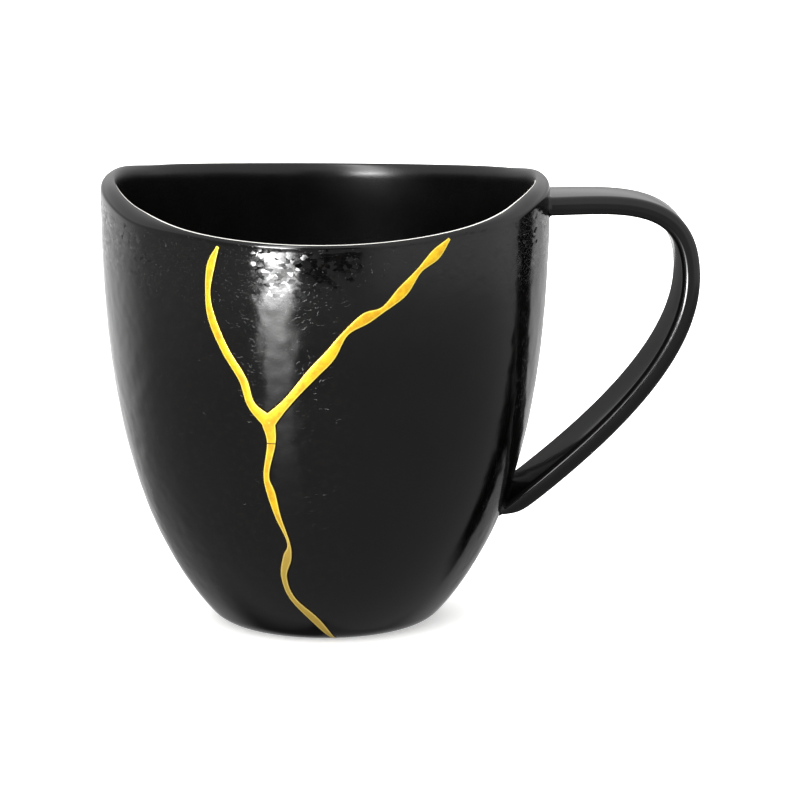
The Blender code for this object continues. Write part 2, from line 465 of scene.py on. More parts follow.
@dataclass
class StrapHandle:
    """The strap handle: one band with rounded edges, luted on under the rim and low on the wall.

    Attributes:
        wall: The wall it is luted to.
        twist_far, twist_tail: How far the band is turned where it reaches out most, and at its tail.
        flat: The level that its underside is bent flat to, over flat_softness.
        plainly_above: How many softnesses above that level the band is left as it is.
        near_joint: How many band widths round a joint are cut.
        score_reach, score_start: Over what length the scores lie, and how far inside the wall they
            start, in fillets.
        score_crowding: How much closer the scores lie towards the wall.
        spread_start, spread_most: How far inside the wall the slip starts, and how far it spreads at
            most, in fillets.
    """

    wall: Wall
    width: float = 12.0 * MM
    thickness: float = 3.4 * MM
    rounding: float = 1.3 * MM
    twist_far: float = math.radians(4.5)
    twist_tail: float = math.radians(8)
    top: float = 75.55 * MM
    top_pull: float = 13.0 * MM
    reach: float = 64.6 * MM
    reach_height: float = 62.6 * MM
    shoulder_pull: float = 15.0 * MM
    belly_pull: float = 13.0 * MM
    tail_slope: float = math.radians(36.2)
    tail_pull: float = 29.3 * MM
    tail_end: tuple[float, float] = (28.4 * MM, 17.9 * MM)
    flat: float = 19.6 * MM
    flat_softness: float = 0.6 * MM
    plainly_above: float = 30.0
    parting_depth: float = 0.95 * MM
    fillet: float = 0.45 * MM
    fillet_cuts: int = 7
    near_joint: float = 2.2
    score_reach: float = 1.15
    score_start: float = 0.1
    score_crowding: float = 1.5
    spread_start: float = 0.04
    spread_most: float = 0.9
    edge_segments: int = 5
    steps: int = 76

    def band(self) -> bpy.types.Object:
        """The band's section: a plane with its corners rounded, turned into a closed curve."""
        Bench.clear()
        bpy.ops.mesh.primitive_plane_add(size=1.0)
        section = bpy.context.object
        section.name = "band_section"
        section.scale = (self.thickness, self.width, 1.0)
        bpy.ops.object.transform_apply(location=True, rotation=True, scale=True)
        bpy.ops.object.mode_set(mode="EDIT")
        bpy.ops.mesh.select_all(action="SELECT")
        bpy.ops.mesh.bevel(offset=self.rounding, segments=self.edge_segments, affect="VERTICES")
        bpy.ops.mesh.delete(type="ONLY_FACE")
        bpy.ops.object.mode_set(mode="OBJECT")
        bpy.ops.object.convert(target="CURVE")
        return bpy.context.object

    def knots(self) -> tuple[Vector, ...]:
        """The middle line's three knots and the four pulls between them, from rim to tail."""
        start = Vector((self.wall.radius - self.wall.at_lip / 2, self.top))
        far = Vector((self.reach, self.reach_height))
        slope = Vector((math.cos(self.tail_slope), math.sin(self.tail_slope))) * self.tail_pull
        level = Vector((self.top_pull, 0))
        rise = Vector((0, self.shoulder_pull))
        fall = Vector((0, -self.belly_pull))
        return start, level, rise, far, fall, slope, Vector(self.tail_end)

    def path(self) -> bpy.types.Object:
        """The band's middle line, drawn flat and then stood upright."""
        Bench.clear()
        bpy.ops.curve.primitive_bezier_curve_add()
        path = bpy.context.object
        path.name = "handle_strap"
        curve = path.data
        curve.dimensions = "2D"
        spline = curve.splines[0]
        spline.bezier_points.add(1)
        start, level, rise, far, fall, slope, tail = self.knots()
        knots = ((start - level, start, start + level), (far + rise, far, far + fall),
                 (tail + slope, tail, tail - slope))
        for point, places in zip(spline.bezier_points, knots):
            point.handle_left_type = point.handle_right_type = "FREE"
            left, middle, right = (Vector((p.x, p.y, 0)) for p in places)
            point.co, point.handle_left, point.handle_right = middle, left, right
        spline.resolution_u = self.steps
        return path

    def levelled(self, height: float) -> float:
        """A height on the strap, with what would hang below the flat bent level."""
        above = (height - self.flat) / self.flat_softness
        if above > self.plainly_above:
            return height
        return self.flat + self.flat_softness * math.log1p(math.exp(above))

    def middle_line(self) -> list[Vector]:
        """The band's middle line in world space, from inside the upper wall to inside the lower one."""
        start, level, rise, far, fall, slope, tail = self.knots()
        shoulder = bezier(start, start + level, far + rise, far, self.steps)
        belly = bezier(far, far + fall, tail + slope, tail, self.steps)
        return [Vector((self.wall.axis_x + p.x, 0, p.y)) for p in shoulder + belly[1:]]

    def twist(self, strap: bpy.types.Object) -> None:
        """Turns the band about its own line towards the tail, and levels its underside at the foot."""
        line = self.middle_line()
        last = len(line) - 1
        tree = finder(line)

        def place(spot: Vector) -> Vector:
            """Turns a vertex about the nearest point of the middle line."""
            _, i, _ = tree.find(Vector((spot.x, 0, spot.z)))
            along = (line[min(i + 1, last)] - line[max(i - 1, 0)]).normalized()
            out = Vector((-along.z, 0, along.x))
            share = 2 * i / last
            turn = min(share, 1.0) * self.twist_far
            turn += max(share - 1.0, 0.0) * (self.twist_tail - self.twist_far)
            through = (spot - line[i]).dot(out)
            moved = spot + out * (through * (math.cos(turn) - 1) - spot.y * math.sin(turn))
            moved.y = spot.y * math.cos(turn) + through * math.sin(turn)
            moved.z = self.levelled(moved.z)
            return moved

        Bench.move_each(strap, place)

    def joints(self) -> list[tuple[Vector, Vector]]:
        """Where the band meets the wall, above and below: the place, and the wall's outward direction."""
        line = self.middle_line()
        gaps = [self.wall.gap(point) for point in line]
        found = []
        for i, (before, after) in enumerate(zip(gaps, gaps[1:])):
            if before * after < 0:
                place = line[i].lerp(line[i + 1], before / (before - after))
                _, out = self.wall.section_at(self.wall.along_at(math.pi / 2, place.z))
                found.append((place, Vector((out.x, 0, out.y))))
        return found

    def part_in_the_wall(self, strap: bpy.types.Object) -> None:
        """Parts the band in the middle of the wall, and scores it closely where the joints will spread."""
        for place, out in self.joints():
            def near(spot: Vector, place: Vector = place) -> bool:
                """Whether a vertex belongs to this end of the band."""
                return (spot - place).length < self.near_joint * self.width

            Bench.cut(strap, near, place - out * self.parting_depth, out, drop=True)
            for i in range(self.fillet_cuts + 1):
                share = (i / self.fillet_cuts) ** self.score_crowding
                off = self.fillet * self.score_reach * share - self.score_start * self.fillet
                Bench.cut(strap, near, place + out * off, out)

    def spread_joints(self, strap: bpy.types.Object) -> None:
        """Spreads the band into a small fillet of slip where it meets the wall."""
        pushes = []
        for vertex in strap.data.vertices:
            gap = self.wall.gap(vertex.co) + self.spread_start * self.fillet
            short = self.fillet - min(max(gap, 0.0), self.fillet)
            spread = self.fillet - math.sqrt(self.fillet ** 2 - short ** 2)
            pushes.append(vertex.normal * min(spread, self.spread_most * self.fillet))
        for vertex, push in zip(strap.data.vertices, pushes):
            vertex.co += push
        strap.data.update()

    def build(self) -> bpy.types.Object:
        """Sweeps the band, parts it inside the wall, and spreads it where it meets the wall."""
        section = self.band()
        strap = self.path()
        strap.data.bevel_mode = "OBJECT"
        strap.data.bevel_object = section
        strap.data.use_fill_caps = True
        strap.rotation_euler.x = math.pi / 2
        strap.location.x = self.wall.axis_x
        Bench.take(strap)
        bpy.ops.object.convert(target="MESH")
        bpy.ops.object.transform_apply(location=True, rotation=True, scale=True)
        Bench.drop(section)
        self.twist(strap)
        Bench.close(strap)
        self.part_in_the_wall(strap)
        Bench.close(strap)
        self.spread_joints(strap)
        return strap


# ------------------------------------------------------------------------------------------------
# Relief: the uneven skin of the glaze on the outer wall
# ------------------------------------------------------------------------------------------------


@dataclass
class GlazeRelief:
    """Shallow hollows in the outer wall, which is rough under its glaze; lip and handle stay smooth.

    Attributes:
        wall: The wall it lies on.
        hollows: Each layer of hollows, as their size and depth, coarse ones first.
        skin: How far off the plain wall a vertex still counts as the outer wall.
        calm_from, calm_until: Where the part right of the front that was wiped smoother starts and
            ends, as angles from the front.
        calm_share: How much less rough the wall is there.
        joint_reach, joint_fade: How far round the handle's joints the wall was wiped smooth.
        line_outer, line_width: The outer edge and the width of the painted highlight line on the front
        lip, round the lip from its crest.
        line_slip, line_widening: How far the line slips inwards and widens towards the sides.
        line_ease: How gently it does so.
        line_fade: The angles from the front over which it ends.
    """

    wall: Wall
    group: str = "rough_wall"
    mask: str = "rough"
    satin: str = "satin"
    # The attribute for the painted highlight line along the front lip's crest.
    crest: str = "crest"
    hollows: tuple[tuple[float, float], ...] = ((4.2 * MM, 0.09 * MM), (1.9 * MM, 0.06 * MM))
    skin: float = 0.35 * MM
    lip_share: float = 0.85
    lip_fade: float = 1.2
    foot_margin: float = 0.6 * MM
    foot_fade: float = 14.0 * MM
    calm_from: tuple[float, float] = (math.radians(1), math.radians(9))
    calm_until: tuple[float, float] = (math.radians(60), math.radians(48))
    calm_share: float = 0.85
    joint_reach: float = 9.5 * MM
    joint_fade: float = 3.0 * MM
    satin_from: float = 0.15 * MM
    satin_full: float = 0.45 * MM
    line_outer: float = 0.20 * MM
    line_width: float = 0.48 * MM
    line_slip: float = 0.165 * MM
    line_ease: float = 0.08
    line_widening: float = 0.1
    line_fade: tuple[float, float] = (math.radians(80), math.radians(92))

    def share(self, spot: Vector, joints: list[tuple[Vector, Vector]]) -> float:
        """How rough the wall is at a vertex of the finished body.

        Args:
            spot: The vertex.
            joints: The handle's two joints, round which the wall was wiped smooth.

        Returns:
            A share from 0, smooth, to 1, fully rough.
        """
        if abs(self.wall.gap(spot)) > self.skin:
            return 0.0
        angle = self.wall.angle_of(spot)
        rounding = self.wall.lip_radius(angle)
        top = self.wall.crest_at(angle) - rounding * self.lip_share
        share = 1 - smoothstep(top - self.lip_fade * rounding, top, spot.z)
        share *= smoothstep(self.foot_margin, self.foot_margin + self.foot_fade, spot.z)
        calm = smoothstep(*self.calm_from, angle) * smoothstep(*self.calm_until, angle)
        share *= 1 - self.calm_share * calm
        for place, _ in joints:
            share *= smoothstep(self.joint_reach - self.joint_fade, self.joint_reach, (spot - place).length)
        return share

    def roughen(self, body: bpy.types.Object, joints: list[tuple[Vector, Vector]]) -> None:
        """Presses the hollows into the wall, coarse ones first."""
        group = body.vertex_groups.new(name=self.group)
        for vertex in body.data.vertices:
            share = self.share(vertex.co, joints)
            if share > 0:
                group.add([vertex.index], share, "REPLACE")
        for i, (size, depth) in enumerate(self.hollows):
            texture = bpy.data.textures.new(f"glaze_hollows_{i}", "CLOUDS")
            texture.noise_scale = size
            texture.noise_depth = 1
            Bench.apply(body, "DISPLACE", texture=texture, texture_coords="LOCAL", mid_level=0.0,
                        strength=-depth, vertex_group=self.group)
            bpy.data.textures.remove(texture)

    def crest_highlight_depth(self, spot: Vector) -> float:
        """How far a vertex lies inside the painted highlight line along the front lip's crest, below zero
        outside it.
        """
        angle = self.wall.angle_of(spot)
        outward = math.hypot(spot.x - self.wall.axis_x, spot.y)
        outward += self.wall.lip_radius(angle) - self.wall.radius
        round_lip = math.copysign(abs(outward) + max(self.wall.crest_at(angle) - spot.z, 0.0), outward)
        slipping = 1 / (max(math.cos(angle), 0.0) + self.line_ease) - 1 / (1 + self.line_ease)
        outer = self.line_outer - self.line_slip * slipping
        inner = outer - self.line_width * (1 + self.line_widening * slipping)
        depth = min(outer - round_lip, round_lip - inner)
        return depth - self.line_width * smoothstep(*self.line_fade, abs(angle))

    def mark(self, body: bpy.types.Object, joints: list[tuple[Vector, Vector]]) -> None:
        """Writes on the finished piece what the glaze reads: rough wall, satin inside, and the painted
        highlight line on the front lip's crest.
        """
        marks: dict[str, Callable[[Vector], float]] = {
            self.mask: lambda spot: self.share(spot, joints),
            self.satin: lambda spot: smoothstep(self.satin_from, self.satin_full, -self.wall.gap(spot)),
            self.crest: self.crest_highlight_depth,
        }
        for name, measure in marks.items():
            attribute = body.data.attributes.new(name, "FLOAT", "POINT")
            for vertex in body.data.vertices:
                attribute.data[vertex.index].value = measure(vertex.co)


# ------------------------------------------------------------------------------------------------
# Crack seam: the gold that fills a forked crack
# ------------------------------------------------------------------------------------------------

Knot = tuple[float, float, float]
Run = list[tuple[Vector, Vector, float]]


@dataclass
class CrackSeam:
    """The forked crack's gold filling, a thin bead along three branches.

    Attributes:
        wall: The wall it lies on.
        fork: Where the three branches meet: angle in degrees, height and width in millimetres.
        left, right, stem: Each branch's knots after the fork, given in the same way.
        bead, sink: How proud the bead is crowned, and how deep its edges lie in the wall.
        outline: Width of the dark edge along the gold.
        least_half: The least half width of the gold.
        full_crown: The half width from which the bead is crowned fully.
        wander, wander_size: How far the bead's edges stray, and over what length.
        inset: Name of the attribute that says how far inside the gold's edge a vertex lies.
    """

    wall: Wall
    fork: Knot = (-17.5, 44, 2.5)
    left: tuple[Knot, ...] = ((-22, 47, 1.5), (-24, 51.5, 1.5), (-28.5, 56.5, 1.5), (-32, 62, 1.5),
                              (-33, 66.5, 1), (-32, 71.5, 1.5), (-30, 75, 0.5))
    right: tuple[Knot, ...] = ((-12, 48, 1.5), (-5, 53.5, 2), (-1, 56.5, 2), (3, 60.5, 1), (8, 63, 2),
                               (12.5, 64.5, 1), (17.5, 67.5, 2), (22, 71, 1), (26.5, 73.5, 2),
                               (30.5, 76, 0.5))
    stem: tuple[Knot, ...] = ((-17, 40, 1.5), (-19, 34, 1), (-18, 30.5, 1.5), (-16.5, 26, 1), (-14, 21, 0.5),
                              (-15, 18, 1.5), (-17, 14, 1), (-15, 9.5, 1), (-7, 5, 1.5), (2.5, 0.5, 0.5))
    bead: float = 0.20 * MM
    sink: float = 0.07 * MM
    thickness: float = 0.30 * MM
    outline: float = 0.25 * MM
    step: float = 0.30 * MM
    least_half: float = 0.05 * MM
    full_crown: float = 1.0 * MM
    across: int = 12
    wander: float = 0.10 * MM
    wander_size: float = 2.4 * MM
    inset: str = "inset"

    def centre_line(self, knots: Iterable[Knot]) -> Run:
        """A smooth run through one branch's knots, on the wall.

        Args:
            knots: The branch's knots from the fork to its tip.

        Returns:
            For each station its place, the wall's outward direction there, and the gold's half width.
        """
        rows = [Vector((math.radians(a), self.wall.along_at(math.radians(a), h * MM), w * MM / 2))
                for a, h, w in (self.fork, *knots)]
        rows = [2 * rows[0] - rows[1], *rows, 2 * rows[-1] - rows[-2]]
        stations = []
        for before, here, there, after in zip(rows, rows[1:], rows[2:], rows[3:]):
            length = (self.wall.spot(there.x, there.y) - self.wall.spot(here.x, here.y)).length
            count = max(2, round(length / self.step))
            # A smooth run leaves each knot along the line between its neighbours, a sixth of it long.
            pull_here, pull_there = here + (there - before) / 6, there - (after - here) / 6
            stations += interpolate_bezier(here, pull_here, pull_there, there, count + 1)[:-1]
        stations.append(rows[-2])
        run = []
        for angle, along, half in stations:
            place = self.wall.spot(angle, along)
            out = (self.wall.spot(angle, along, MM) - place).normalized()
            run.append((place, out, max(half, self.least_half)))
        return run

    def ribbon(self, name: str, knots: Iterable[Knot]) -> tuple[bpy.types.Object, Run]:
        """One branch as a closed bead: a grid laid along the branch, crowned and thickened.

        Args:
            name: The branch's name.
            knots: The branch's knots after the fork.

        Returns:
            The bead, and the stations it follows.
        """
        run = self.centre_line(knots)
        last = len(run) - 1
        Bench.clear()
        bpy.ops.mesh.primitive_grid_add(x_subdivisions=last, y_subdivisions=self.across, size=2)
        bead = bpy.context.object
        bead.name = name

        def place(spot: Vector) -> Vector:
            """Lays a vertex of the flat grid, whose sides run from -1 to 1, on its branch."""
            i = round((spot.x + 1) / 2 * last)
            centre, out, half = run[i]
            along = (run[min(i + 1, last)][0] - run[max(i - 1, 0)][0]).normalized()
            side = along.cross(out).normalized()
            half += self.outline
            edge = centre + side * spot.y * half
            stray = noise.noise(edge / self.wander_size) * self.wander * spot.y
            crown = math.sqrt(max(0.0, 1 - spot.y ** 2)) * min(1.0, half / self.full_crown) ** 0.5
            return edge + side * stray + out * (self.bead * crown - self.sink)

        Bench.move_each(bead, place)
        Bench.close(bead)
        if bead.data.polygons[0].normal.dot(run[0][1]) < 0:
            bead.data.flip_normals()
        Bench.apply(bead, "SOLIDIFY", thickness=self.thickness, offset=-1.0)
        return bead, run

    def mark(self, seam: bpy.types.Object, runs: list[Run]) -> None:
        """Writes how far each vertex lies inside the gold's edge, for the gold to read."""
        trees = [finder([place for place, _, _ in run]) for run in runs]
        attribute = seam.data.attributes.new(self.inset, "FLOAT", "POINT")
        for vertex in seam.data.vertices:
            depths = []
            for tree, run in zip(trees, runs):
                centre, i, _ = tree.find(vertex.co)
                offset = vertex.co - centre
                offset -= run[i][1] * offset.dot(run[i][1])
                depths.append(run[i][2] - offset.length)
            attribute.data[vertex.index].value = max(depths)

    def build(self) -> bpy.types.Object:
        """Lays the three branches and joins them at the fork."""
        seam, left = self.ribbon("gold_seam", self.left)
        runs = [left]
        for name, knots in (("right_branch", self.right), ("stem_branch", self.stem)):
            branch, run = self.ribbon(name, knots)
            Bench.apply(seam, "BOOLEAN", operation="UNION", solver="EXACT", object=branch)
            Bench.drop(branch)
            runs.append(run)
        self.mark(seam, runs)
        seam.data.shade_smooth()
        return seam


# ------------------------------------------------------------------------------------------------
# Finishes
# ------------------------------------------------------------------------------------------------


def linear(colour: str) -> tuple[float, float, float, float]:
    """Turns an sRGB hex colour such as "#1b1918" into linear RGBA."""
    channels = [int(colour[i:i + 2], 16) / 255 for i in (1, 3, 5)]
    values = [c / 12.92 if c <= 0.04045 else ((c + 0.055) / 1.055) ** 2.4 for c in channels]
    return (*values, 1.0)


def add_node(tree: bpy.types.NodeTree, kind: str, inputs: dict | None = None,
             **settings: object) -> bpy.types.Node:
    """Adds one node to a tree.

    Args:
        tree: The node tree.
        kind: The node's type name.
        inputs: For each input socket's name or number, a socket to link from, or a value.
        settings: The node's own properties.

    Returns:
        The new node.
    """
    node = tree.nodes.new(kind)
    for name, value in settings.items():
        setattr(node, name, value)
    for key, value in (inputs or {}).items():
        if isinstance(value, bpy.types.NodeSocket):
            tree.links.new(value, node.inputs[key])
        else:
            node.inputs[key].default_value = value
    return node


def new_material(name: str) -> tuple[bpy.types.Material, bpy.types.NodeTree, bpy.types.Node]:
    """A material with its tree and its Principled shader."""
    material = bpy.data.materials.new(name)
    material.use_nodes = True
    return material, material.node_tree, material.node_tree.nodes["Principled BSDF"]


@dataclass(frozen=True)
class BlackSatinGlaze:
    """Black iron glaze fired on porcelain: near black, glossy outside and satin inside.

    The outer wall was faceted and scraped before glazing, most of all close under the lip. The glaze
    runs off its edges, so a lamp's reflection falls apart into small bright chips there. A fine pale
    line along the front lip's crest is a painted highlight, in place of the surround's reflection there.

    Attributes:
        rough, satin, crest: Names of the attributes that say how rough the wall is, how far inside
        the cup a point lies, and how deep in the painted highlight line on the front lip's crest.
        pool_colour, break_colour: Where the glaze lies thick, and where it thins out.
        cloud_edges, break_edges: How far up their noise the thin clouds and the breaks start and end.
        spread: How much duller the glaze is where it thins.
        facet_flatness: How much wider than tall a facet is.
        facet_rarity: How much the facets that lean most outweigh the others.
        facet_stray: How far a facet's edges stray.
        facet_patch, patch_edges, patch_low: Size of the patches that facets gather in, how far up
            their noise a patch starts and ends, and the facets' share between patches.
        facet_heights, facet_low_share: Where the facets start to show and show fully, and their share
            below.
    """

    rough: str
    satin: str
    crest: str
    body_colour: str = "#080707"
    pool_colour: str = "#050505"
    break_colour: str = "#0c0a09"
    # The pale colour of the painted highlight along the front lip's crest, with its gloss and soft edge
    # below.
    crest_highlight_colour: str = "#d9d7d1"
    gloss: float = 0.10
    satin_gloss: float = 0.23
    crest_highlight_gloss: float = 0.35
    ior: float = 1.5
    spread: float = 0.03
    facet_size: float = 1.0 * MM
    facet_flatness: float = 1.5
    facet_slope: float = 0.55
    facet_rarity: float = 3.0
    facet_stray: float = 0.9 * MM
    facet_patch: float = 5.0 * MM
    patch_edges: tuple[float, float] = (0.38, 0.58)
    patch_low: float = 0.25
    facet_heights: tuple[float, float] = (63.0 * MM, 75.0 * MM)
    facet_low_share: float = 0.05
    grain_size: float = 0.35 * MM
    grain_depth: float = 0.003 * MM
    cloud_size: float = 9.0 * MM
    cloud_edges: tuple[float, float] = (0.35, 0.65)
    break_edges: tuple[float, float] = (0.5, 0.64)
    crest_highlight_softness: float = 0.05 * MM

    def relief(self, tree: bpy.types.NodeTree, place: bpy.types.NodeSocket,
               rough: bpy.types.NodeSocket) -> bpy.types.NodeSocket:
        """The wall's small facets and fine grain.

        Args:
            tree: The glaze's nodes.
            place: Where a point lies on the piece.
            rough: How rough the wall is there.

        Returns:
            The surface's direction with the relief on it.
        """
        strays = add_node(tree, "ShaderNodeTexNoise",
                          {"Vector": place, "Scale": 1 / self.facet_stray, "Detail": 1.0})
        flat = add_node(tree, "ShaderNodeVectorMath", {0: place, 1: (1.0, 1.0, self.facet_flatness)},
                        operation="MULTIPLY").outputs[0]
        shifted = add_node(tree, "ShaderNodeVectorMath", {0: strays.outputs["Color"],
                                                          1: (self.facet_stray,) * 3, 2: flat},
                           operation="MULTIPLY_ADD").outputs[0]
        cells = add_node(tree, "ShaderNodeTexVoronoi", {"Vector": shifted, "Scale": 1 / self.facet_size})
        offset = add_node(tree, "ShaderNodeVectorMath", {0: flat, 1: cells.outputs["Position"]},
                          operation="SUBTRACT").outputs[0]
        # A cell's colour runs from 0 to 1, so each facet leans its own way about the middle.
        lean = add_node(tree, "ShaderNodeVectorMath", {0: cells.outputs["Color"], 1: (0.5, 0.5, 0.5)},
                        operation="SUBTRACT").outputs[0]
        much = add_node(tree, "ShaderNodeVectorMath", {0: lean}, operation="LENGTH").outputs["Value"]
        rare = add_node(tree, "ShaderNodeMath", {0: much, 1: self.facet_rarity}, operation="POWER").outputs[0]
        leaning = add_node(tree, "ShaderNodeVectorMath", {0: lean, "Scale": rare},
                           operation="SCALE").outputs[0]
        facets = add_node(tree, "ShaderNodeVectorMath", {0: offset, 1: leaning}, operation="DOT_PRODUCT")
        height = add_node(tree, "ShaderNodeSeparateXYZ", {0: place}).outputs[2]
        upper = add_node(tree, "ShaderNodeMapRange",
                         {"Value": height, "From Min": self.facet_heights[0],
                          "From Max": self.facet_heights[1], "To Min": self.facet_low_share},
                         interpolation_type="SMOOTHSTEP")
        patches = add_node(tree, "ShaderNodeTexNoise", {"Vector": place, "Scale": 1 / self.facet_patch})
        patchy = add_node(tree, "ShaderNodeMapRange",
                          {"Value": patches.outputs["Fac"], "From Min": self.patch_edges[0],
                           "From Max": self.patch_edges[1], "To Min": self.patch_low})
        amount = upper.outputs[0]
        for factor in (patchy.outputs[0], rough):
            amount = add_node(tree, "ShaderNodeMath", {0: amount, 1: factor}, operation="MULTIPLY").outputs[0]
        faceted = add_node(tree, "ShaderNodeMath", {0: facets.outputs["Value"], 1: amount},
                           operation="MULTIPLY")
        facet_bump = add_node(tree, "ShaderNodeBump",
                              {"Height": faceted.outputs[0], "Distance": self.facet_slope})
        grain = add_node(tree, "ShaderNodeTexNoise",
                         {"Vector": place, "Scale": 1 / self.grain_size, "Detail": 2.0})
        return add_node(tree, "ShaderNodeBump", {"Height": grain.outputs["Fac"], "Distance": self.grain_depth,
                                                 "Normal": facet_bump.outputs["Normal"]}).outputs["Normal"]

    def make(self) -> bpy.types.Material:
        """Builds the glaze."""
        material, tree, shader = new_material("black_satin_glaze")
        place = add_node(tree, "ShaderNodeTexCoord").outputs["Object"]
        rough, satin, crest = (add_node(tree, "ShaderNodeAttribute", attribute_name=name).outputs["Fac"]
                               for name in (self.rough, self.satin, self.crest))

        clouds = add_node(tree, "ShaderNodeTexNoise", {"Vector": place, "Scale": 1 / self.cloud_size,
                                                       "Detail": 4.0, "Roughness": 0.6})
        pools = add_node(tree, "ShaderNodeMapRange",
                         {"Value": clouds.outputs["Fac"], "From Min": self.cloud_edges[0],
                          "From Max": self.cloud_edges[1]})
        thin = add_node(tree, "ShaderNodeTexNoise",
                        {"Vector": place, "Scale": 1 / self.facet_size, "Detail": 3.0})
        breaks = add_node(tree, "ShaderNodeMapRange",
                          {"Value": thin.outputs["Fac"], "From Min": self.break_edges[0],
                           "From Max": self.break_edges[1], "To Max": rough})
        # Painted highlight: pale colour laid along the front lip's crest, where the crest attribute is above
        # zero.
        crest_highlight = add_node(tree, "ShaderNodeMapRange", {"Value": crest, "From Min": -self.crest_highlight_softness,
                                                     "From Max": self.crest_highlight_softness})
        colour = linear(self.pool_colour)
        for share, over in ((pools, self.body_colour), (breaks, self.break_colour),
                            (crest_highlight, self.crest_highlight_colour)):
            colour = add_node(tree, "ShaderNodeMix", {"Factor": share.outputs[0], 6: colour,
                                                      7: linear(over)}, data_type="RGBA").outputs[2]
        tree.links.new(colour, shader.inputs["Base Color"])

        sheen = add_node(tree, "ShaderNodeMapRange", {"Value": satin, "To Min": self.gloss,
                                                      "To Max": self.satin_gloss})
        spread = add_node(tree, "ShaderNodeMath", {0: pools.outputs[0], 1: self.spread, 2: sheen.outputs[0]},
                          operation="MULTIPLY_ADD")
        dulled = add_node(tree, "ShaderNodeMix", {0: crest_highlight.outputs[0], 2: spread.outputs[0],
                                                  3: self.crest_highlight_gloss})
        tree.links.new(dulled.outputs[0], shader.inputs["Roughness"])
        shader.inputs["IOR"].default_value = self.ior
        tree.links.new(self.relief(tree, place, rough), shader.inputs["Normal"])
        return material


